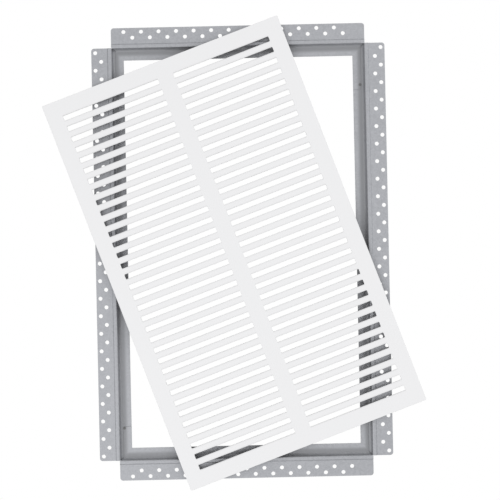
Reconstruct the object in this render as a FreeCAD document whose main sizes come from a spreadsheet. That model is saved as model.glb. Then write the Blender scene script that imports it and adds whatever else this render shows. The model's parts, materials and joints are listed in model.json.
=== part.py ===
# Flush return air vent for a nominal 14 by 24 inch duct: a folded steel frame that is plastered into the
# wall, and the slotted cover that magnets hold in it. The cover lies turned on the frame.
# Millimetres. X runs across the vent, Y along it and Z out of the wall. The origin is the middle of the
# frame, on the wall's face, which is the back of the perforated flange.
import FreeCAD, Part
import math
import os

import Sketcher
from FreeCAD import Placement, Rotation, Vector

doc = FreeCAD.newDocument("return_air_vent")
sheet = doc.addObject("Spreadsheet::Sheet", "size")

driving_sizes = [
    ("duct_width", 355.6, "nominal duct opening across"),
    ("duct_height", 609.6, "nominal duct opening along"),
    ("duct_margin", 5.6, "clear opening past the duct, each side"),
    ("ledge_width", 17.8, "ledge that the closed cover sits on"),
    ("sheet_steel", 0.9, "thickness of the frame's sheet"),
    ("bend_radius", 1.5, "inside radius of the fold between bead and wall"),
    ("cove_radius", 5.2, "inside radius of the fold between wall and ledge"),
    ("bead_width", 6.5, "raised bead between flange and recess"),
    ("bead_rise", 1.2, "height of the bead over the flange"),
    ("bead_radius", 0.6, "inside radius of the pressed step"),
    ("flange_width", 25.4, "flat perforated flange"),
    ("flange_corner", 4.5, "rounded outer corner of a flange"),
    ("corner_gap", 0.2, "clearance between neighbouring rails"),
    ("hole_bore", 6.4, "perforation"),
    ("hole_pitch", 28.0, "perforations along one row"),
    ("outer_row", 6.2, "outer row from the flange's edge"),
    ("inner_row", 15.5, "inner row from the flange's edge"),
    ("long_tab", 72.0, "lap of the short rail at its blank end, from the recess corner"),
    ("short_tab", 52.0, "lap of the short rail at its other end"),
    ("tab_corner", 4.0, "rounded corner of a lap, beside the wall"),
    ("cover_gap", 1.0, "cover to recess wall when closed"),
    ("cover_sheet", 1.5, "thickness of the cover"),
    ("cover_corner", 2.0, "rounded corner of the cover"),
    ("cover_rim", 25.3, "plain rim round the slots"),
    ("cover_web", 25.4, "plain web between the two columns of slots"),
    ("slot_width", 8.0, "width of a slot"),
    ("slot_pitch", 18.0, "slots along a column"),
    ("magnet_length", 19.0, "block magnet, along the cover's edge"),
    ("magnet_width", 9.5, "block magnet, across the cover's edge"),
    ("magnet_depth", 6.35, "thickness of a block magnet"),
    ("magnet_edge", 0.4, "chamfer of a block magnet"),
    ("magnet_pitch", 112.0, "magnets along each side of the cover"),
    ("cover_turn", 20.0, "turn of the loose cover, in degrees"),
    ("cover_shift_x", -12.8, "middle of the loose cover from the frame's middle"),
    ("cover_shift_y", -1.7, "middle of the loose cover from the frame's middle"),
]
for row, (alias, size, note) in enumerate(driving_sizes, start=1):
    sheet.set(f"A{row}", note)
    sheet.set(f"B{row}", str(size))
    sheet.setAlias(f"B{row}", alias)
doc.recompute()

# Places that several pieces share, measured from the middle of the frame
opening_x = "(size.duct_width / 2 + size.duct_margin)"
opening_y = "(size.duct_height / 2 + size.duct_margin)"
recess_x = f"({opening_x} + size.ledge_width)"
recess_y = f"({opening_y} + size.ledge_width)"
wall_x = f"({recess_x} + size.sheet_steel)"
wall_y = f"({recess_y} + size.sheet_steel)"
outer_x = f"({wall_x} + size.bead_width + size.flange_width)"
outer_y = f"({wall_y} + size.bead_width + size.flange_width)"
bead_top = "(size.sheet_steel + size.bead_rise)"

# The closed cover is flush with the bead, so the recess is as deep as the cover and its magnets.
# The short rails' ledge laps on top of the long rails' ledge.
short_ledge = f"({bead_top} - size.cover_sheet - size.magnet_depth)"
long_ledge = f"({short_ledge} - size.sheet_steel)"

cover_x = f"({recess_x} - size.cover_gap)"
cover_y = f"({recess_y} - size.cover_gap)"
# Magnets meet the flat part of the ledge, between the opening and the fold
magnet_inset = "((size.ledge_width + size.cove_radius) / 2 - size.cover_gap)"

hole_sides = 10


def value(expression):
    return float(sheet.evalExpression(expression))


def new_sketch(body, name, role, level=None):
    sketch = body.newObject("Sketcher::SketchObject", name)
    plane = [item for item in body.Origin.OriginFeatures if item.Role == role][0]
    sketch.AttachmentSupport = [(plane, "")]
    sketch.MapMode = "FlatFace"
    if level:
        sketch.setExpression("AttachmentOffset.Base.z", level)
    return sketch


def hold(sketch, kind, *reference, size):
    # One dimension of a sketch, bound to the sheet
    number = sketch.addConstraint(Sketcher.Constraint(kind, *reference, value(size)))
    sketch.setExpression(f"Constraints[{number}]", size)


def draw_outline(sketch, corners):
    # Closed outline of straight lines; each corner is a pair of distances from the sketch's origin
    first = sketch.GeometryCount
    points = [Vector(value(u), value(v), 0) for u, v in corners]
    count = len(points)
    for step in range(count):
        sketch.addGeometry(Part.LineSegment(points[step], points[(step + 1) % count]), False)
    for step, (u, v) in enumerate(corners):
        after = first + (step + 1) % count
        sketch.addConstraint(Sketcher.Constraint("Coincident", first + step, 2, after, 1))
        hold(sketch, "DistanceX", -1, 1, first + step, 1, size=u)
        hold(sketch, "DistanceY", -1, 1, first + step, 1, size=v)


def draw_rectangle(sketch, left, right, low, high):
    draw_outline(sketch, [(left, low), (right, low), (right, high), (left, high)])


def pad(body, sketch, name, length, symmetric=False):
    feature = body.newObject("PartDesign::Pad", name)
    feature.Profile = sketch
    feature.SideType = "Symmetric" if symmetric else "One side"
    feature.setExpression("Length", length)
    body.Tip = feature
    doc.recompute()
    return feature


def cut_through(body, sketch, name):
    feature = body.newObject("PartDesign::Pocket", name)
    feature.Profile = sketch
    feature.SideType = "Symmetric"
    feature.Type = "ThroughAll"
    body.Tip = feature
    doc.recompute()
    return feature


def row_pattern(body, feature, axis, name, pitch, count):
    pattern = body.newObject("PartDesign::LinearPattern", name)
    pattern.Originals = [feature]
    pattern.Direction = (feature.Profile[0], [axis])
    pattern.Mode = "Spacing"
    pattern.setExpression("Offset", pitch)
    pattern.setExpression("Occurrences", count)
    doc.recompute()
    body.Tip = pattern
    return pattern


def straight_edges(shape, along, spots):
    # Names of the edges that run along one axis through the given spots; None leaves a distance free
    names = []
    for number, edge in enumerate(shape.Edges, start=1):
        if edge.Curve.TypeId != "Part::GeomLine":
            continue
        if abs(abs(edge.Curve.Direction.dot(along)) - 1) > 1e-6:
            continue
        middle = edge.CenterOfMass
        for spot in spots:
            if all(place is None or abs(place - own) < 1e-4 for place, own in zip(spot, middle)):
                names.append(f"Edge{number}")
    return names


def round_edges(body, along, spots, name, radius):
    base = body.Tip
    names = straight_edges(base.Shape, along, spots)
    feature = body.newObject("PartDesign::Fillet", name)
    feature.Base = (base, names)
    feature.setExpression("Radius", radius)
    body.Tip = feature
    doc.recompute()
    return feature


def folded_rail(label, length, opening, recess, wall, outer, ledge):
    # One strip of sheet, folded along X with its flange towards +Y: flange, raised bead, wall and ledge
    body = doc.addObject("PartDesign::Body", label)
    body.Label = label
    crease = f"({outer} - size.flange_width)"
    step_shift = "(size.sheet_steel * tan(22.5 deg))"
    section = new_sketch(body, f"{label}_section", "YZ_Plane")
    draw_outline(section, [
        (outer, "size.sheet_steel"),
        (crease, "size.sheet_steel"),
        (f"{crease} - size.bead_rise", bead_top),
        (recess, bead_top),
        (recess, ledge),
        (opening, ledge),
        (opening, f"{ledge} - size.sheet_steel"),
        (wall, f"{ledge} - size.sheet_steel"),
        (wall, "size.bead_rise"),
        (f"{crease} - size.bead_rise - {step_shift}", "size.bead_rise"),
        (f"{crease} - {step_shift}", "0"),
        (outer, "0"),
    ])
    pad(body, section, f"{label}_strip", length, symmetric=True)

    across = Vector(1, 0, 0)
    step = value(step_shift)
    crease_y = value(crease)
    rise = value("size.bead_rise")
    steel = value("size.sheet_steel")
    bend_in = [(None, value(wall), rise)]
    bend_out = [(None, value(recess), steel + rise)]
    cove_in = [(None, value(recess), value(ledge))]
    cove_out = [(None, value(wall), value(ledge) - steel)]
    inside_step = [(None, crease_y, steel), (None, crease_y - rise - step, rise)]
    outside_step = [(None, crease_y - rise, steel + rise), (None, crease_y - step, 0)]
    round_edges(body, across, bend_in, f"{label}_bend_in", "size.bend_radius")
    round_edges(body, across, bend_out, f"{label}_bend_out", "size.bend_radius + size.sheet_steel")
    round_edges(body, across, cove_in, f"{label}_cove_in", "size.cove_radius")
    round_edges(body, across, cove_out, f"{label}_cove_out", "size.cove_radius + size.sheet_steel")
    round_edges(body, across, inside_step, f"{label}_step_in", "size.bead_radius")
    round_edges(body, across, outside_step, f"{label}_step_out", "size.bead_radius + size.sheet_steel")

    half = value(length) / 2
    corners = [(half, value(outer), None), (-half, value(outer), None)]
    round_edges(body, Vector(0, 0, 1), corners, f"{label}_corners", "size.flange_corner")
    return body


def perforate(body, row, first_x, row_y, count, hand=1):
    # One row of perforations, from its first hole along the rail. There are so many of them that each
    # is a polygon on the bore's circle.
    label = f"{body.Label}_{row}"
    sketch = new_sketch(body, label, "XY_Plane")
    corners = []
    for side in range(hole_sides):
        turn = f"{side} * {360 / hole_sides} deg"
        across = f"{first_x} + size.hole_bore / 2 * cos({turn})"
        along = f"{row_y} + size.hole_bore / 2 * sin({turn})"
        corners.append((across, along))
    draw_outline(sketch, corners)
    hole = cut_through(body, sketch, f"{label}_hole")
    pattern = row_pattern(body, hole, "H_Axis", f"{label}_holes", "size.hole_pitch", count)
    pattern.Reversed = hand < 0


def screw_holes(body, end_x, row_y):
    # True bores at both ends of the outer row, for the wall screws
    sketch = new_sketch(body, f"{body.Label}_screws", "XY_Plane")
    for number, place in enumerate((f"-{end_x}", end_x)):
        centre = Vector(value(place), value(row_y), 0)
        sketch.addGeometry(Part.Circle(centre, Vector(0, 0, 1), value("size.hole_bore") / 2), False)
        hold(sketch, "Diameter", number, size="size.hole_bore")
        hold(sketch, "DistanceX", -1, 1, number, 3, size=place)
        hold(sketch, "DistanceY", -1, 1, number, 3, size=row_y)
    cut_through(body, sketch, f"{body.Label}_screw_holes")


# Steps between perforations along a rail: as many as fit between its ends
long_steps = f"floor((2 * {wall_y} - 2 * size.outer_row) / size.hole_pitch)"
short_steps = f"floor((2 * {wall_x} - 2 * size.outer_row) / size.hole_pitch)"


def long_rail(label, turn):
    # Runs the full height of the recess; its ledge passes under the short rails' laps
    body = folded_rail(label, f"2 * {wall_y}", opening_x, recess_x, wall_x, outer_x, long_ledge)
    outer_row = f"{outer_x} - size.outer_row"
    inner_row = f"{outer_x} - size.inner_row"
    screw_holes(body, f"{long_steps} / 2 * size.hole_pitch", outer_row)
    outer_first = f"(1 - {long_steps} / 2) * size.hole_pitch"
    perforate(body, "outer_row", outer_first, outer_row, f"{long_steps} - 1")
    inner_first = f"(1 - {long_steps}) / 2 * size.hole_pitch"
    perforate(body, "inner_row", inner_first, inner_row, long_steps)
    body.Placement = Placement(Vector(0, 0, 0), Rotation(Vector(0, 0, 1), turn))
    return body


def short_rail(label, hand, turn):
    # Fits between the long rails' walls; hand 1 has its blank end and its long lap towards +X
    body = folded_rail(label, f"2 * {wall_x}", opening_y, recess_y, wall_y, outer_y, short_ledge)
    wall_end = f"({recess_x} - size.corner_gap)"
    end = f"({wall_end} - size.cove_radius)"
    trim = new_sketch(body, f"{label}_trim", "XY_Plane")
    notch = new_sketch(body, f"{label}_notch", "XZ_Plane")
    low = f"{opening_y} - size.sheet_steel"
    high = f"{wall_y} + size.corner_gap"
    under = f"{short_ledge} - 2 * size.sheet_steel"
    for side in ("", "-"):
        far = f"{side}({wall_x} + size.sheet_steel)"
        near = f"{side}{wall_end}"
        draw_outline(trim, [(near, low), (far, low), (far, high), (near, high)])
        # Below the wall the end slants back, clear of the long rail's fold
        draw_outline(notch, [(f"{side}{end}", under), (far, under), (far, f"{short_ledge} + size.cove_radius"),
                             (near, f"{short_ledge} + size.cove_radius"), (f"{side}{end}", short_ledge)])
    cut_through(body, trim, f"{label}_ends")
    cut_through(body, notch, f"{label}_notches")

    for tab, side in (("long_tab", hand), ("short_tab", -hand)):
        sign = "" if side > 0 else "-"
        lap = new_sketch(body, f"{label}_{tab}", "XY_Plane", f"{short_ledge} - size.sheet_steel")
        tip = f"{recess_y} - size.{tab}"
        root = f"{opening_y} + size.ledge_width / 2"
        draw_outline(lap, [(f"{sign}{opening_x}", tip), (f"{sign}{end}", tip),
                           (f"{sign}{end}", root), (f"{sign}{opening_x}", root)])
        pad(body, lap, f"{label}_{tab}_lap", "size.sheet_steel")
        corner = [(value(f"{sign}{end}"), value(tip), None)]
        round_edges(body, Vector(0, 0, 1), corner, f"{label}_{tab}_corner", "size.tab_corner")

    blank = "" if hand < 0 else "-"
    outer_row = f"{outer_y} - size.outer_row"
    inner_row = f"{outer_y} - size.inner_row"
    outer_first = f"{blank}{short_steps} / 2 * size.hole_pitch"
    perforate(body, "outer_row", outer_first, outer_row, short_steps, hand)
    inner_first = f"{blank}({short_steps} - 1) / 2 * size.hole_pitch"
    perforate(body, "inner_row", inner_first, inner_row, short_steps, hand)
    body.Placement = Placement(Vector(0, 0, 0), Rotation(Vector(0, 0, 1), turn))
    return body


def place_on_cover(piece, across, along, level):
    # Puts a piece at a place of the turned cover, measured from the cover's middle
    turn = "size.cover_turn * 1 deg"
    shift_x = f"{across} * cos({turn}) - {along} * sin({turn})"
    shift_y = f"{across} * sin({turn}) + {along} * cos({turn})"
    piece.Placement = Placement(Vector(0, 0, 0), Rotation(Vector(0, 0, 1), value("size.cover_turn")))
    piece.setExpression("Placement.Base.x", f"size.cover_shift_x + {shift_x}")
    piece.setExpression("Placement.Base.y", f"size.cover_shift_y + {shift_y}")
    piece.setExpression("Placement.Base.z", level)


def slotted_cover():
    # Flat plate with two columns of slots, drawn one row at a time
    body = doc.addObject("PartDesign::Body", "cover")
    body.Label = "cover"
    plate = new_sketch(body, "cover_plate", "XY_Plane")
    draw_rectangle(plate, f"-{cover_x}", cover_x, f"-{cover_y}", cover_y)
    pad(body, plate, "cover_blank", "size.cover_sheet")
    half_x, half_y = value(cover_x), value(cover_y)
    corners = [(x, y, None) for x in (-half_x, half_x) for y in (-half_y, half_y)]
    round_edges(body, Vector(0, 0, 1), corners, "cover_corners", "size.cover_corner")

    rows = f"(floor((2 * {cover_y} - 2 * size.cover_rim - size.slot_width) / size.slot_pitch) + 1)"
    low = f"(1 - {rows}) / 2 * size.slot_pitch - size.slot_width / 2"
    high = f"(1 - {rows}) / 2 * size.slot_pitch + size.slot_width / 2"
    slots = new_sketch(body, "cover_slot_row", "XY_Plane")
    near, far = "size.cover_web / 2", f"({cover_x} - size.cover_rim)"
    draw_rectangle(slots, f"-{far}", f"-{near}", low, high)
    draw_rectangle(slots, near, far, low, high)
    row_cut = cut_through(body, slots, "cover_slots")
    row_pattern(body, row_cut, "V_Axis", "cover_slot_rows", "size.slot_pitch", rows)
    place_on_cover(body, "0", "0", f"{bead_top} + size.magnet_depth")
    return body


def block_magnet(number, across, along, half_x, half_y):
    # Glued to the back of the cover, where it meets the ledge when the cover is closed
    label = f"magnet_{number}"
    body = doc.addObject("PartDesign::Body", label)
    body.Label = label
    face = new_sketch(body, f"{label}_face", "XY_Plane")
    draw_rectangle(face, f"-{half_x}", half_x, f"-{half_y}", half_y)
    block = pad(body, face, f"{label}_block", "size.magnet_depth")
    rim = body.newObject("PartDesign::Chamfer", f"{label}_rim")
    free_edges = []
    for index, edge in enumerate(block.Shape.Edges, start=1):
        if edge.CenterOfMass.z < block.Shape.BoundBox.ZMax - 1e-6:
            free_edges.append(f"Edge{index}")
    rim.Base = (block, free_edges)
    rim.setExpression("Size", "size.magnet_edge")
    body.Tip = rim
    place_on_cover(body, across, along, bead_top)
    return body


pieces = [
    long_rail("long_rail_right", -90),
    long_rail("long_rail_left", 90),
    short_rail("short_rail_top", 1, 0),
    short_rail("short_rail_bottom", -1, 180),
    slotted_cover(),
]

# Six magnets along each long side of the cover and three along each short side, each along its edge
side_x = f"({cover_x} - {magnet_inset})"
side_y = f"({cover_y} - {magnet_inset})"
half_length, half_width = "size.magnet_length / 2", "size.magnet_width / 2"
places = []
for sign in ("", "-"):
    for step in (-2.5, -1.5, -0.5, 0.5, 1.5, 2.5):
        places.append((f"({sign}{side_x})", f"({step} * size.magnet_pitch)", half_width, half_length))
    for step in (-1, 0, 1):
        places.append((f"({step} * size.magnet_pitch)", f"({sign}{side_y})", half_length, half_width))
for number, place in enumerate(places, start=1):
    pieces.append(block_magnet(number, *place))

doc.recompute()
for item in doc.Objects:
    if "Invalid" in item.State or "Error" in item.State:
        raise RuntimeError(f"{item.Name} is {item.State}")
for piece in pieces:
    if piece.Shape.isNull() or not piece.Shape.isValid() or len(piece.Shape.Solids) != 1:
        raise RuntimeError(f"{piece.Label} isn't one valid solid")

os.makedirs("parts", exist_ok=True)
for piece in pieces:
    piece.Shape.exportStep(f"parts/{piece.Label}.step")
    box = piece.Shape.BoundBox
    print(f"{piece.Label}: {piece.Shape.Volume:.0f} mm3, {box.XMin:.1f} {box.YMin:.1f} {box.ZMin:.2f}"
          f" to {box.XMax:.1f} {box.YMax:.1f} {box.ZMax:.2f}")
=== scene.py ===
import json
import math

import bpy
from mathutils import Euler, Matrix, Vector

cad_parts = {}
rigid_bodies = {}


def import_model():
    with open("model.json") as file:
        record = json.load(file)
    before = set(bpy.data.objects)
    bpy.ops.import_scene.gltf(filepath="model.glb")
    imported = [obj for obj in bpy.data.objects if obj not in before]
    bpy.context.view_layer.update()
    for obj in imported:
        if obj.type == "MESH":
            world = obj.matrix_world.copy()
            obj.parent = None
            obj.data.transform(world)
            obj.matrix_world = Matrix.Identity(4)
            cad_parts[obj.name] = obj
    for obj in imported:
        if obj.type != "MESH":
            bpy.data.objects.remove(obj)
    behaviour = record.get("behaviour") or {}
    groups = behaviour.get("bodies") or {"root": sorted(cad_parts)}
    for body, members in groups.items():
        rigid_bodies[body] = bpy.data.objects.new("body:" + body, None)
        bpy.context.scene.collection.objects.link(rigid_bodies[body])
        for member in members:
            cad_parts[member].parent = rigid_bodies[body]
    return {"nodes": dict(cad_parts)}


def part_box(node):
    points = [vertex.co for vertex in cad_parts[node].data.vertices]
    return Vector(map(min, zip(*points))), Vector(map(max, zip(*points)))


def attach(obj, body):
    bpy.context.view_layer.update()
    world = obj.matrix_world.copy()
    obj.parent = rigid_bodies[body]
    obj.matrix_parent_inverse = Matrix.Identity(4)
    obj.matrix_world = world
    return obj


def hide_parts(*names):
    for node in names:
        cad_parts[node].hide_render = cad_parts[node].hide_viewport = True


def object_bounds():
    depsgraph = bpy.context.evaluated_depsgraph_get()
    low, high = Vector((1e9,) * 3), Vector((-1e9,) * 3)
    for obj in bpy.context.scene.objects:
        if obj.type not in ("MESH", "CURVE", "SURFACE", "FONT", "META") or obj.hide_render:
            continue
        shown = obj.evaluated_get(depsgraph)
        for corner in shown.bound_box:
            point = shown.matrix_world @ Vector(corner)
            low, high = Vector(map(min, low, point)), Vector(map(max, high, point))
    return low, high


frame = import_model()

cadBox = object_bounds()

mm = 0.001
touch = 0.01 * mm             # two places nearer than this are the same
roundedPast = 50              # degrees between two faces, past which their edge is rounded
smoothUpTo = 30               # degrees up to which it is shaded smooth


# Selecting and editing, as by hand

def selectOnly(*objects):
    for other in bpy.data.objects:
        other.select_set(False)
    for one in objects:
        one.select_set(True)
    bpy.context.view_layer.objects.active = objects[0]


def applyModifier(piece, kind, **settings):
    selectOnly(piece)
    modifier = piece.modifiers.new(kind.title(), kind)
    for name, setting in settings.items():
        setattr(modifier, name, setting)
    bpy.ops.object.modifier_apply(modifier=modifier.name)


def pick(piece, kind, wanted):
    # Selects the faces, edges or vertices of the piece whose middle passes the test
    bpy.ops.object.mode_set(mode="EDIT")
    bpy.ops.mesh.select_mode(type=kind)
    bpy.ops.mesh.select_all(action="DESELECT")
    bpy.ops.object.mode_set(mode="OBJECT")
    mesh = piece.data
    lists = {"FACE": mesh.polygons, "EDGE": mesh.edges, "VERT": mesh.vertices}
    for item in lists[kind]:
        if kind == "FACE":
            middle = item.center
        elif kind == "EDGE":
            middle = (mesh.vertices[item.vertices[0]].co + mesh.vertices[item.vertices[1]].co) / 2
        else:
            middle = item.co
        if wanted(middle, item):
            item.select = True
    bpy.ops.object.mode_set(mode="EDIT")


def bisectAt(piece, place, normal):
    # Cuts every face of the piece along one plane and keeps both sides
    selectOnly(piece)
    bpy.ops.object.mode_set(mode="EDIT")
    bpy.ops.mesh.select_mode(type="FACE")
    bpy.ops.mesh.select_all(action="SELECT")
    bpy.ops.mesh.bisect(plane_co=place, plane_no=normal)
    bpy.ops.object.mode_set(mode="OBJECT")


def edgeAlongX(mesh, edge):
    ends = [mesh.vertices[index].co for index in edge.vertices]
    return abs(ends[0].y - ends[1].y) < touch and abs(ends[0].z - ends[1].z) < touch


def finishPiece(piece, node, material):
    piece.data.materials.clear()
    piece.data.materials.append(material)
    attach(piece, "root")
    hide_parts(node)


# Sizes read from the frame

longLow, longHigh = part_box("long_rail_right")
shortLow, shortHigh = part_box("short_rail_top")
coverLow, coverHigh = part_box("cover")

openingX = longLow.x
outerX = longHigh.x
outerY = shortHigh.y
wallX = shortHigh.x
wallY = longHigh.y
beadTop = longHigh.z
longLedge = longLow.z
shortLedge = shortLow.z

rail = {
    "sheet": 0.9 * mm,
    "bendRadius": 1.5 * mm,       # inside radius of the fold between bead and wall
    "coveRadius": 5.2 * mm,       # inside radius of the fold between wall and ledge
    "stepRadius": 0.6 * mm,       # inside radius of the pressed step
    "flangeWidth": 25.4 * mm,
    "flangeCorner": 4.5 * mm,
    "holeBore": 6.4 * mm,
    "holePitch": 28 * mm,
    "outerRow": 6.2 * mm,         # rows of holes, from the flange's edge
    "innerRow": 15.5 * mm,
    "longTab": 72 * mm,           # laps, from the corner of the recess
    "shortTab": 52 * mm,
    "tabCorner": 4 * mm,
    "cornerGap": 0.2 * mm,
    "holeSides": 28,
    "punch": 6 * mm,              # length of the punch that cuts a hole
    "foldSteps": 6,
    "coveSteps": 12,
    "edgeRound": 0.12 * mm,
}
recessX = wallX - rail["sheet"]
recessY = wallY - rail["sheet"]
openingY = recessY - (recessX - openingX)


# Shared effects: each is a node group whose output varies over the surface

def newGroup(name, inputs, output):
    group = bpy.data.node_groups.new(name, "ShaderNodeTree")
    for label, kind, default in inputs:
        socket = group.interface.new_socket(name=label, in_out="INPUT", socket_type=kind)
        if default is not None:
            socket.default_value = default
    group.interface.new_socket(name=output, in_out="OUTPUT", socket_type="NodeSocketFloat")
    return group, group.nodes.new("NodeGroupInput"), group.nodes.new("NodeGroupOutput")


def feed(tree, socket, source):
    # Links a socket to another one, or sets it to a plain value
    if isinstance(source, bpy.types.NodeSocket):
        tree.links.new(source, socket)
    else:
        socket.default_value = source


def calculate(tree, operation, *sources):
    node = tree.nodes.new("ShaderNodeMath")
    node.operation = operation
    for socket, source in zip(node.inputs, sources):
        feed(tree, socket, source)
    return node.outputs["Value"]


def remap(tree, source, fromLow, fromHigh, toLow, toHigh, smooth=False):
    node = tree.nodes.new("ShaderNodeMapRange")
    node.interpolation_type = "SMOOTHSTEP" if smooth else "LINEAR"
    names = ("Value", "From Min", "From Max", "To Min", "To Max")
    for name, value in zip(names, (source, fromLow, fromHigh, toLow, toHigh)):
        feed(tree, node.inputs[name], value)
    return node.outputs["Result"]


def noise(tree, vector, scale, detail):
    node = tree.nodes.new("ShaderNodeTexNoise")
    feed(tree, node.inputs["Vector"], vector)
    feed(tree, node.inputs["Scale"], scale)
    feed(tree, node.inputs["Detail"], detail)
    return node.outputs["Fac"]


def splitAxes(tree, vector):
    node = tree.nodes.new("ShaderNodeSeparateXYZ")
    feed(tree, node.inputs["Vector"], vector)
    return node.outputs["X"], node.outputs["Y"], node.outputs["Z"]


def mottleGroup():
    # Cloudy patches and, over them, the cells that a coating sets in
    group, start, end = newGroup("mottle", [
        ("Vector", "NodeSocketVector", None),
        ("Patch Scale", "NodeSocketFloat", 20.0),
        ("Cell Scale", "NodeSocketFloat", 200.0),
        ("Cell Share", "NodeSocketFloat", 0.4),
    ], "Tone")
    patches = noise(group, start.outputs["Vector"], start.outputs["Patch Scale"], detail=3.0)
    cells = group.nodes.new("ShaderNodeTexVoronoi")
    group.links.new(start.outputs["Vector"], cells.inputs["Vector"])
    group.links.new(start.outputs["Cell Scale"], cells.inputs["Scale"])
    cellTone = splitAxes(group, cells.outputs["Color"])[0]
    mix = group.nodes.new("ShaderNodeMix")
    group.links.new(start.outputs["Cell Share"], mix.inputs["Factor"])
    group.links.new(patches, mix.inputs["A"])
    group.links.new(cellTone, mix.inputs["B"])
    group.links.new(mix.outputs["Result"], end.inputs["Tone"])
    return group


def grainGroup():
    # Fine unevenness of a sheet or of a sprayed coat, as a height
    group, start, end = newGroup("grain", [
        ("Vector", "NodeSocketVector", None),
        ("Scale", "NodeSocketFloat", 800.0),
        ("Coarse Scale", "NodeSocketFloat", 0.13),
        ("Coarse Share", "NodeSocketFloat", 0.8),
    ], "Height")
    fine = noise(group, start.outputs["Vector"], start.outputs["Scale"], detail=4.0)
    coarseScale = calculate(group, "MULTIPLY", start.outputs["Scale"], start.outputs["Coarse Scale"])
    coarse = noise(group, start.outputs["Vector"], coarseScale, detail=2.0)
    waves = calculate(group, "MULTIPLY", coarse, start.outputs["Coarse Share"])
    group.links.new(calculate(group, "ADD", fine, waves), end.inputs["Height"])
    return group


def foldGroup():
    # Painted shade: a darker band along the ledge, before the fold to the recess wall
    group, start, end = newGroup("foldDull", [
        ("Vector", "NodeSocketVector", None),
        ("Half Width", "NodeSocketFloat", 0.2),
        ("Half Height", "NodeSocketFloat", 0.3),
        ("Reach", "NodeSocketFloat", 0.012),
        ("Full", "NodeSocketFloat", 0.007),
        ("Wall Share", "NodeSocketFloat", 0.6),
    ], "Mask")
    x, y = splitAxes(group, start.outputs["Vector"])[:2]
    full = start.outputs["Full"]
    besideX = calculate(group, "SUBTRACT", start.outputs["Half Width"], calculate(group, "ABSOLUTE", x))
    besideY = calculate(group, "SUBTRACT", start.outputs["Half Height"], calculate(group, "ABSOLUTE", y))
    inside = calculate(group, "MINIMUM", besideX, besideY)
    nearWall = remap(group, inside, start.outputs["Reach"], full, 0.0, 1.0, smooth=True)
    fadeIn = calculate(group, "MULTIPLY", full, start.outputs["Wall Share"])
    beforeWall = remap(group, inside, 0.0, fadeIn, 0.0, 1.0, smooth=True)
    group.links.new(calculate(group, "MULTIPLY", nearWall, beforeWall), end.inputs["Mask"])
    return group


def lapSpotGroup():
    # A dark spot by the end of each lap. The laps are long on the right side of the frame,
    # and short on its left.
    group, start, end = newGroup("lapSpots", [
        ("Vector", "NodeSocketVector", None),
        ("Across", "NodeSocketFloat", 0.19),
        ("Long Lap", "NodeSocketFloat", 0.26),
        ("Short Lap", "NodeSocketFloat", 0.28),
        ("Radius", "NodeSocketFloat", 0.002),
        ("Core", "NodeSocketFloat", 0.6),
        ("Halo", "NodeSocketFloat", 1.2),
    ], "Mask")
    x, y = splitAxes(group, start.outputs["Vector"])[:2]
    onRight = calculate(group, "GREATER_THAN", x, 0.0)
    along = group.nodes.new("ShaderNodeMix")
    group.links.new(onRight, along.inputs["Factor"])
    group.links.new(start.outputs["Short Lap"], along.inputs["A"])
    group.links.new(start.outputs["Long Lap"], along.inputs["B"])
    fromX = calculate(group, "SUBTRACT", calculate(group, "ABSOLUTE", x), start.outputs["Across"])
    fromY = calculate(group, "SUBTRACT", calculate(group, "ABSOLUTE", y), along.outputs["Result"])
    squares = [calculate(group, "POWER", side, 2.0) for side in (fromX, fromY)]
    away = calculate(group, "SQRT", calculate(group, "ADD", *squares))
    share = calculate(group, "DIVIDE", away, start.outputs["Radius"])
    mark = remap(group, share, start.outputs["Core"], start.outputs["Halo"], 1.0, 0.0, smooth=True)
    group.links.new(mark, end.inputs["Mask"])
    return group


def slotShadeGroup():
    # Painted shade: one at the rim of every slot, none in the middle of the bars and on the plain rim
    group, start, end = newGroup("paintedSlotShade", [
        ("Vector", "NodeSocketVector", None),
        ("Middle", "NodeSocketVector", None),
        ("Turn", "NodeSocketFloat", 0.0),
        ("Pitch", "NodeSocketFloat", 0.018),
        ("Half Slot", "NodeSocketFloat", 0.004),
        ("Near", "NodeSocketFloat", 0.01),
        ("Far", "NodeSocketFloat", 0.17),
        ("End", "NodeSocketFloat", 0.3),
        ("Reach", "NodeSocketFloat", 0.002),
    ], "Mask")
    turned = group.nodes.new("ShaderNodeVectorRotate")
    turned.rotation_type = "Z_AXIS"
    shifted = group.nodes.new("ShaderNodeVectorMath")
    shifted.operation = "SUBTRACT"
    group.links.new(start.outputs["Vector"], shifted.inputs[0])
    group.links.new(start.outputs["Middle"], shifted.inputs[1])
    group.links.new(shifted.outputs["Vector"], turned.inputs["Vector"])
    group.links.new(calculate(group, "MULTIPLY", start.outputs["Turn"], -1.0), turned.inputs["Angle"])
    u, v = splitAxes(group, turned.outputs["Vector"])[:2]
    halfPitch = calculate(group, "MULTIPLY", start.outputs["Pitch"], 0.5)
    row = calculate(group, "PINGPONG", v, halfPitch)
    fromMiddle = calculate(group, "SUBTRACT", halfPitch, row)
    bar = calculate(group, "SUBTRACT", fromMiddle, start.outputs["Half Slot"])
    besideSlot = remap(group, bar, 0.0, start.outputs["Reach"], 1.0, 0.0, smooth=True)
    across = calculate(group, "ABSOLUTE", u)
    pastNear = calculate(group, "GREATER_THAN", across, start.outputs["Near"])
    beforeFar = calculate(group, "LESS_THAN", across, start.outputs["Far"])
    beforeEnd = calculate(group, "LESS_THAN", calculate(group, "ABSOLUTE", v), start.outputs["End"])
    inColumn = calculate(group, "MULTIPLY", pastNear, beforeFar)
    amongSlots = calculate(group, "MULTIPLY", inColumn, beforeEnd)
    group.links.new(calculate(group, "MULTIPLY", besideSlot, amongSlots), end.inputs["Mask"])
    return group


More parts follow.
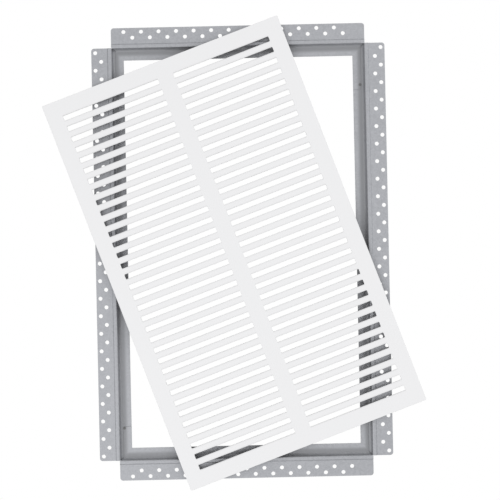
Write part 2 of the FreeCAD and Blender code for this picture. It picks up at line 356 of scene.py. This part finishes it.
def backGroup():
    # One on the back of a plate, none above the given level
    group, start, end = newGroup("backSide", [
        ("Vector", "NodeSocketVector", None),
        ("Level", "NodeSocketFloat", 0.0),
        ("Blend", "NodeSocketFloat", 0.0002),
    ], "Mask")
    z = splitAxes(group, start.outputs["Vector"])[2]
    above = calculate(group, "ADD", start.outputs["Level"], start.outputs["Blend"])
    group.links.new(remap(group, z, start.outputs["Level"], above, 1.0, 0.0), end.inputs["Mask"])
    return group


effects = {
    "mottle": mottleGroup(),
    "grain": grainGroup(),
    "fold": foldGroup(),
    "lapSpot": lapSpotGroup(),
    "slotShade": slotShadeGroup(),
    "back": backGroup(),
}
print("effects made")


# Materials

cover = {
    "turn": 20.0,                 # degrees
    "gap": 1.0 * mm,              # closed cover to the recess wall
    "corner": 2 * mm,
    "cornerSteps": 6,
    "rim": 25.3 * mm,
    "web": 25.4 * mm,
    "slotWidth": 8 * mm,
    "slotPitch": 18 * mm,
    "slotCorner": 1.3 * mm,
    "slotSteps": 4,
    "punch": 6 * mm,              # length of the punch that cuts a slot
    "edgeRound": 0.25 * mm,
    "paint": (0.835, 0.835, 0.845),
    "paintedSlotShadeColour": (0.745, 0.745, 0.755),    # painted shade round the slots
    "paintedSlotShadeReach": 2.6 * mm,
    "primer": (0.15, 0.13, 0.115),        # the back is primed only
    "primerReach": 0.3 * mm,              # up the edges, from the back
    "patchScale": 9,
    "cellScale": 500,
    "cellShare": 0.1,
    "grainScale": 1100,
    "grainHeight": 0.05 * mm,
    "metallic": 0.0,
    "roughness": (0.4, 0.5),
    "bump": 0.15,
}
coverMiddle = (coverLow + coverHigh) / 2


def slotRows():
    room = 2 * (recessY - cover["gap"] - cover["rim"]) - cover["slotWidth"]
    return math.floor(room / cover["slotPitch"]) + 1


zinc = {
    "light": (0.468, 0.477, 0.503),
    "dark": (0.352, 0.36, 0.382),
    "fold": (0.276, 0.281, 0.296),        # painted shade on the ledge before the fold of the recess
    "foldReach": 13.5 * mm,
    "foldFull": 7 * mm,
    "lapSpot": (0.15, 0.15, 0.15),
    "lapSpotRadius": 2.7 * mm,
    "lapSpotAcross": 194.6 * mm,
    "lapSpotLong": 7.5 * mm,                 # spot from the end of a long lap
    "lapSpotShort": 2.2 * mm,                # and of a short one
    "patchScale": 14,
    "cellScale": 420,
    "cellShare": 0.5,
    "grainScale": 900,
    "grainHeight": 0.1 * mm,
    "metallic": 0.5,
    "roughness": (0.46, 0.56),
    "bump": 0.12,
}

nickel = {
    "light": (0.66, 0.64, 0.6),
    "dark": (0.56, 0.54, 0.5),
    "patchScale": 120,
    "cellScale": 900,
    "cellShare": 0.2,
    "grainScale": 2500,
    "grainHeight": 0.02 * mm,
    "metallic": 1.0,
    "roughness": (0.22, 0.38),
    "bump": 0.08,
}
toneSpan = (0.2, 0.8)         # most of the mottle's tones lie between these


def newMaterial(name, colour, metallic, roughness):
    material = bpy.data.materials.new(name)
    material.use_nodes = True
    shader = material.node_tree.nodes["Principled BSDF"]
    shader.inputs["Base Color"].default_value = (*colour, 1)
    shader.inputs["Metallic"].default_value = metallic
    shader.inputs["Roughness"].default_value = roughness
    return material


def addEffect(tree, kind, **values):
    # Puts one of the shared effects into a material, over the piece's own coordinates
    node = tree.nodes.new("ShaderNodeGroup")
    node.node_tree = effects[kind]
    tree.links.new(objectPlace(tree), node.inputs["Vector"])
    for name, value in values.items():
        node.inputs[name.replace("_", " ")].default_value = value
    return node.outputs[0]


def objectPlace(tree):
    place = tree.nodes.get("Place")
    if place is None:
        place = tree.nodes.new("ShaderNodeTexCoord")
        place.name = "Place"
    return place.outputs["Object"]


def blend(tree, factor, first, second):
    node = tree.nodes.new("ShaderNodeMix")
    node.data_type = "RGBA"
    colours = [socket for socket in node.inputs if socket.type == "RGBA"]
    feed(tree, node.inputs["Factor"], factor)
    for socket, source in zip(colours, (first, second)):
        feed(tree, socket, source if isinstance(source, bpy.types.NodeSocket) else (*source, 1))
    return [socket for socket in node.outputs if socket.type == "RGBA"][0]


def addMottle(tree, finish):
    # The finish's clouds and cells, which also vary how rough it is
    tone = addEffect(tree, "mottle", Patch_Scale=finish["patchScale"],
                     Cell_Scale=finish["cellScale"], Cell_Share=finish["cellShare"])
    roughness = remap(tree, tone, *toneSpan, *finish["roughness"])
    tree.links.new(roughness, tree.nodes["Principled BSDF"].inputs["Roughness"])
    return tone


def addGrain(tree, finish):
    bump = tree.nodes.new("ShaderNodeBump")
    bump.inputs["Strength"].default_value = finish["bump"]
    bump.inputs["Distance"].default_value = finish["grainHeight"]
    tree.links.new(addEffect(tree, "grain", Scale=finish["grainScale"]), bump.inputs["Height"])
    tree.links.new(bump.outputs["Normal"], tree.nodes["Principled BSDF"].inputs["Normal"])


def makeFrameSteel():
    material = newMaterial("frameSteel", zinc["light"], zinc["metallic"], zinc["roughness"][0])
    tree = material.node_tree
    baseColour = tree.nodes["Principled BSDF"].inputs["Base Color"]
    tone = addMottle(tree, zinc)
    # Painted shade: the ledge is darkened towards the fold of the recess wall
    fold = addEffect(tree, "fold", Half_Width=recessX, Half_Height=recessY,
                     Reach=zinc["foldReach"], Full=zinc["foldFull"])
    # A dark spot by the end of each lap
    lapSpot = addEffect(tree, "lapSpot", Across=zinc["lapSpotAcross"], Radius=zinc["lapSpotRadius"],
                     Long_Lap=recessY - rail["longTab"] + zinc["lapSpotLong"],
                     Short_Lap=recessY - rail["shortTab"] + zinc["lapSpotShort"])
    sheetColour = blend(tree, tone, zinc["dark"], zinc["light"])
    # painted shade laid over the zinc before the recess fold
    foldColour = blend(tree, fold, sheetColour, zinc["fold"])
    tree.links.new(blend(tree, lapSpot, foldColour, zinc["lapSpot"]), baseColour)
    addGrain(tree, zinc)
    return material


def makeCoverPaint():
    material = newMaterial("coverPaint", cover["paint"], cover["metallic"], cover["roughness"][0])
    tree = material.node_tree
    baseColour = tree.nodes["Principled BSDF"].inputs["Base Color"]
    lastSlot = (slotRows() - 1) / 2 * cover["slotPitch"] + cover["slotWidth"] / 2
    # Painted shade: the paint is darkened in a band round every slot
    rim = addEffect(tree, "slotShade", Middle=coverMiddle, Turn=math.radians(cover["turn"]),
                    Pitch=cover["slotPitch"], Half_Slot=cover["slotWidth"] / 2,
                    Near=cover["web"] / 2, Far=recessX - cover["gap"] - cover["rim"],
                    End=lastSlot + cover["paintedSlotShadeReach"], Reach=cover["paintedSlotShadeReach"])
    addMottle(tree, cover)
    back = addEffect(tree, "back", Level=coverLow.z + cover["primerReach"])
    faceColour = blend(tree, rim, cover["paint"], cover["paintedSlotShadeColour"])
    tree.links.new(blend(tree, back, faceColour, cover["primer"]), baseColour)
    addGrain(tree, cover)
    return material


def makeMagnetNickel():
    material = newMaterial("magnetNickel", nickel["light"], nickel["metallic"], nickel["roughness"][0])
    tree = material.node_tree
    baseColour = tree.nodes["Principled BSDF"].inputs["Base Color"]
    tone = addMottle(tree, nickel)
    tree.links.new(blend(tree, tone, nickel["dark"], nickel["light"]), baseColour)
    addGrain(tree, nickel)
    return material


frameSteel = makeFrameSteel()
coverPaint = makeCoverPaint()
magnetNickel = makeMagnetNickel()
print("materials made")


# The frame: each rail is drawn along X with its flange towards +Y, folded, perforated and turned

def foldedStrip(name, halfLength, opening, recess, outer, ledgeTop):
    # The top face of the sheet: flange, step, bead, wall and ledge
    crease = outer - rail["flangeWidth"]
    rise = beadTop - rail["sheet"]
    bpy.ops.object.select_all(action="DESELECT")
    bpy.ops.mesh.primitive_plane_add(size=1, location=(0, 0, 0))
    strip = bpy.context.object
    strip.name = name
    bpy.ops.object.mode_set(mode="EDIT")
    bpy.ops.mesh.select_all(action="SELECT")
    bpy.ops.transform.resize(value=(2 * halfLength, rail["flangeWidth"], 1))
    bpy.ops.transform.translate(value=(0, (outer + crease) / 2, rail["sheet"]))
    pick(strip, "EDGE", lambda middle, edge: abs(middle.y - crease) < touch)
    moves = [
        (0, -rise, rise),
        (0, recess - (crease - rise), 0),
        (0, 0, ledgeTop - beadTop),
        (0, opening - recess, 0),
    ]
    for move in moves:
        bpy.ops.mesh.extrude_region_move(TRANSFORM_OT_translate={"value": move})
    bpy.ops.object.mode_set(mode="OBJECT")
    roundFold(strip, recess, beadTop, rail["bendRadius"] + rail["sheet"], 90, rail["coveSteps"])
    roundFold(strip, recess, ledgeTop, rail["coveRadius"], 90, rail["coveSteps"])
    roundFold(strip, crease, rail["sheet"], rail["stepRadius"], 45, rail["foldSteps"])
    roundFold(strip, crease - rise, beadTop, rail["stepRadius"] + rail["sheet"], 45, rail["foldSteps"])
    for side in (-1, 1):
        roundCorner(strip, side * halfLength, outer, rail["flangeCorner"])
    return strip


def roundFold(strip, y, z, radius, turn, steps):
    def onFold(middle, edge):
        atPlace = abs(middle.y - y) < touch and abs(middle.z - z) < touch
        return atPlace and edgeAlongX(strip.data, edge)
    pick(strip, "EDGE", onFold)
    reach = radius * math.tan(math.radians(turn / 2))
    bpy.ops.mesh.bevel(offset=reach, segments=steps, affect="EDGES")
    bpy.ops.object.mode_set(mode="OBJECT")


def roundCorner(strip, x, y, radius):
    def atCorner(middle, vertex):
        return abs(middle.x - x) < touch and abs(middle.y - y) < touch
    pick(strip, "VERT", atCorner)
    bpy.ops.mesh.bevel(offset=radius, segments=rail["foldSteps"], affect="VERTICES")
    bpy.ops.object.mode_set(mode="OBJECT")


def punchOut(piece, punch, places):
    # Copies the punch to every place and cuts with all the copies at once
    copies = []
    for x, y in places:
        another = punch.copy()
        another.data = punch.data.copy()
        bpy.context.scene.collection.objects.link(another)
        another.location = (x, y, 0)
        copies.append(another)
    bpy.data.objects.remove(punch)
    bpy.context.view_layer.update()
    selectOnly(*copies)
    bpy.ops.object.join()
    cutter = bpy.context.object
    applyModifier(piece, "BOOLEAN", operation="DIFFERENCE", object=cutter, solver="EXACT")
    bpy.data.objects.remove(cutter)


def finishSheet(piece, edgeRound, place):
    applyModifier(piece, "BEVEL", width=edgeRound, segments=1, limit_method="ANGLE",
                  angle_limit=math.radians(roundedPast))
    piece.data.transform(place)
    selectOnly(piece)
    bpy.ops.object.shade_smooth_by_angle(angle=math.radians(smoothUpTo))
    applyModifier(piece, "WEIGHTED_NORMAL", keep_sharp=True)


def holePlaces(halfLength, outer, rowsEven, hand=1):
    # Two staggered rows. The outer one has a hole more, or, where the rows are even,
    # leaves out the last place on the side of the hand.
    steps = math.floor((2 * halfLength - 2 * rail["outerRow"]) / rail["holePitch"])
    rows = [
        (steps if rowsEven else steps + 1, steps / 2, outer - rail["outerRow"]),
        (steps, (steps - 1) / 2, outer - rail["innerRow"]),
    ]
    return [(hand * (step - middle) * rail["holePitch"], y)
            for count, middle, y in rows for step in range(count)]


def finishRail(strip, node, places, turn):
    applyModifier(strip, "SOLIDIFY", thickness=rail["sheet"], offset=-1, use_even_offset=True)
    bpy.ops.object.select_all(action="DESELECT")
    bpy.ops.mesh.primitive_cylinder_add(vertices=rail["holeSides"], radius=rail["holeBore"] / 2,
                                        depth=rail["punch"], location=(0, 0, 0))
    punchOut(strip, bpy.context.object, places)
    finishSheet(strip, rail["edgeRound"], Matrix.Rotation(math.radians(turn), 4, "Z"))
    finishPiece(strip, node, frameSteel)
    print(strip.name, "folded,", len(strip.data.polygons), "faces")


def longRail(name, node, turn):
    strip = foldedStrip(name, wallY, openingX, recessX, outerX, longLedge + rail["sheet"])
    finishRail(strip, node, holePlaces(wallY, outerX, rowsEven=False), turn)


def shortRail(name, node, hand, turn):
    ledgeTop = shortLedge + rail["sheet"]
    strip = foldedStrip(name, wallX, openingY, recessY, outerY, ledgeTop)
    wallEnd = recessX - rail["cornerGap"]
    ledgeEnd = wallEnd - rail["coveRadius"]
    trim = wallY + rail["cornerGap"]
    for side in (-1, 1):
        bisectAt(strip, (side * wallEnd, 0, 0), (1, 0, 0))
        bisectAt(strip, (side * ledgeEnd, 0, ledgeTop), (side, 0, -1))
        bisectAt(strip, (side * openingX, 0, 0), (1, 0, 0))
    bisectAt(strip, (0, trim, 0), (0, 1, 0))

    # The wall ends beside those of the long rails, and the ledge before their cove
    def pastEnd(middle, face):
        slant = ledgeEnd + max(0, middle.z - ledgeTop)
        return middle.y < trim and abs(middle.x) > min(wallEnd, slant)
    pick(strip, "FACE", pastEnd)
    bpy.ops.mesh.delete(type="FACE")
    bpy.ops.object.mode_set(mode="OBJECT")
    for tab, side in ((rail["longTab"], hand), (rail["shortTab"], -hand)):
        def atLap(middle, edge):
            inLap = abs(middle.y - openingY) < touch and side * middle.x > openingX
            return inLap and edgeAlongX(strip.data, edge)
        pick(strip, "EDGE", atLap)
        lapMove = (0, recessY - tab - openingY, 0)
        bpy.ops.mesh.extrude_region_move(TRANSFORM_OT_translate={"value": lapMove})
        bpy.ops.object.mode_set(mode="OBJECT")
        roundCorner(strip, side * ledgeEnd, recessY - tab, rail["tabCorner"])
    finishRail(strip, node, holePlaces(wallX, outerY, rowsEven=True, hand=hand), turn)


longRail("rightRail", "long_rail_right", -90)
longRail("leftRail", "long_rail_left", 90)
shortRail("topRail", "short_rail_top", 1, 0)
shortRail("bottomRail", "short_rail_bottom", -1, 180)


# The cover

def roundedBlock(name, size, corner, steps):
    # A block about the origin, with its upright edges rounded
    bpy.ops.object.select_all(action="DESELECT")
    bpy.ops.mesh.primitive_cube_add(size=1, location=(0, 0, 0))
    block = bpy.context.object
    block.name = name
    bpy.ops.object.mode_set(mode="EDIT")
    bpy.ops.mesh.select_all(action="SELECT")
    bpy.ops.transform.resize(value=size)
    pick(block, "EDGE", lambda middle, edge: abs(middle.z) < touch)
    bpy.ops.mesh.bevel(offset=corner, segments=steps, affect="EDGES")
    bpy.ops.object.mode_set(mode="OBJECT")
    return block


def slottedCover():
    halfX = recessX - cover["gap"]
    halfY = recessY - cover["gap"]
    plateSize = (2 * halfX, 2 * halfY, coverHigh.z - coverLow.z)
    plate = roundedBlock("slottedCover", plateSize, cover["corner"], cover["cornerSteps"])
    near = cover["web"] / 2
    far = halfX - cover["rim"]
    slotSize = (far - near, cover["slotWidth"], cover["punch"])
    slotPunch = roundedBlock("slotPunch", slotSize, cover["slotCorner"], cover["slotSteps"])
    rows = slotRows()
    places = [(side * (near + far) / 2, (row - (rows - 1) / 2) * cover["slotPitch"])
              for side in (-1, 1) for row in range(rows)]
    punchOut(plate, slotPunch, places)
    turn = Matrix.Rotation(math.radians(cover["turn"]), 4, "Z")
    finishSheet(plate, cover["edgeRound"], Matrix.Translation(coverMiddle) @ turn)
    finishPiece(plate, "cover", coverPaint)
    print("cover made,", len(plate.data.polygons), "faces")


slottedCover()

# The magnets keep their own meshes
for name, node in frame["nodes"].items():
    if name.startswith("magnet"):
        node.data.materials.clear()
        node.data.materials.append(magnetNickel)


# Floor, light and camera

studio = {
    "key": {"place": (1.6, 0.6, 0.9), "size": (2.4, 1.6), "power": 8},
    "fill": {"place": (-1.4, -1.0, 2.0), "size": (2.0, 2.0), "power": 13},
    "sky": (0.22, 0.97),          # light from all round: at the horizon, and from above
    "skyFull": 0.8,               # height, of 1, past which it is as from above
    "floorSize": 12,
    "floorTone": 0.06,
    "floorRoughness": 0.9,
    "lens": 72.2,
    "sensor": 36,
    "cameraHeight": 1.6,          # above the flange
    "cameraPlace": (0.0125, 0.0026),
    "cameraTurn": -1.24,          # degrees
}


def makeFloor():
    # Plain white to the camera, and dark paper to the light
    bpy.ops.object.select_all(action="DESELECT")
    bpy.ops.mesh.primitive_plane_add(size=studio["floorSize"], location=(0, 0, cadBox[0][2]))
    floor = bpy.context.object
    floor.name = "floor"
    paper = newMaterial("floorPaper", (studio["floorTone"],) * 3, metallic=0.0,
                        roughness=studio["floorRoughness"])
    nodes = paper.node_tree.nodes
    links = paper.node_tree.links
    path = nodes.new("ShaderNodeLightPath")
    glow = nodes.new("ShaderNodeEmission")
    mix = nodes.new("ShaderNodeMixShader")
    output = nodes["Material Output"]
    links.new(path.outputs["Is Camera Ray"], mix.inputs["Fac"])
    links.new(nodes["Principled BSDF"].outputs["BSDF"], mix.inputs[1])
    links.new(glow.outputs["Emission"], mix.inputs[2])
    links.new(mix.outputs["Shader"], output.inputs["Surface"])
    floor.data.materials.append(paper)


def areaLight(name, place, size, power):
    data = bpy.data.lights.new(name, "AREA")
    data.shape = "RECTANGLE"
    data.size, data.size_y = size
    data.energy = power
    lamp = bpy.data.objects.new(name, data)
    bpy.context.scene.collection.objects.link(lamp)
    lamp.location = place
    lamp.rotation_euler = (-Vector(place)).to_track_quat("-Z", "Y").to_euler()


def makeLight():
    for name in ("key", "fill"):
        areaLight(name + "Light", **studio[name])
    world = bpy.data.worlds.new("studio")
    world.use_nodes = True
    tree = world.node_tree
    sky = tree.nodes["Background"]
    sky.inputs["Color"].default_value = (1, 1, 1, 1)
    direction = tree.nodes.new("ShaderNodeTexCoord").outputs["Generated"]
    height = splitAxes(tree, direction)[2]
    strength = remap(tree, height, 0.0, studio["skyFull"], *studio["sky"], smooth=True)
    tree.links.new(strength, sky.inputs["Strength"])
    bpy.context.scene.world = world
    bpy.context.scene.view_settings.view_transform = "Standard"


def makeCamera():
    data = bpy.data.cameras.new("camera")
    data.lens = studio["lens"]
    data.sensor_width = studio["sensor"]
    camera = bpy.data.objects.new("camera", data)
    bpy.context.scene.collection.objects.link(camera)
    camera.location = (*studio["cameraPlace"], studio["cameraHeight"] + rail["sheet"])
    camera.rotation_euler = Euler((0, 0, math.radians(studio["cameraTurn"])))
    bpy.context.scene.camera = camera


makeFloor()
makeLight()
makeCamera()
print("floor, light and camera made")
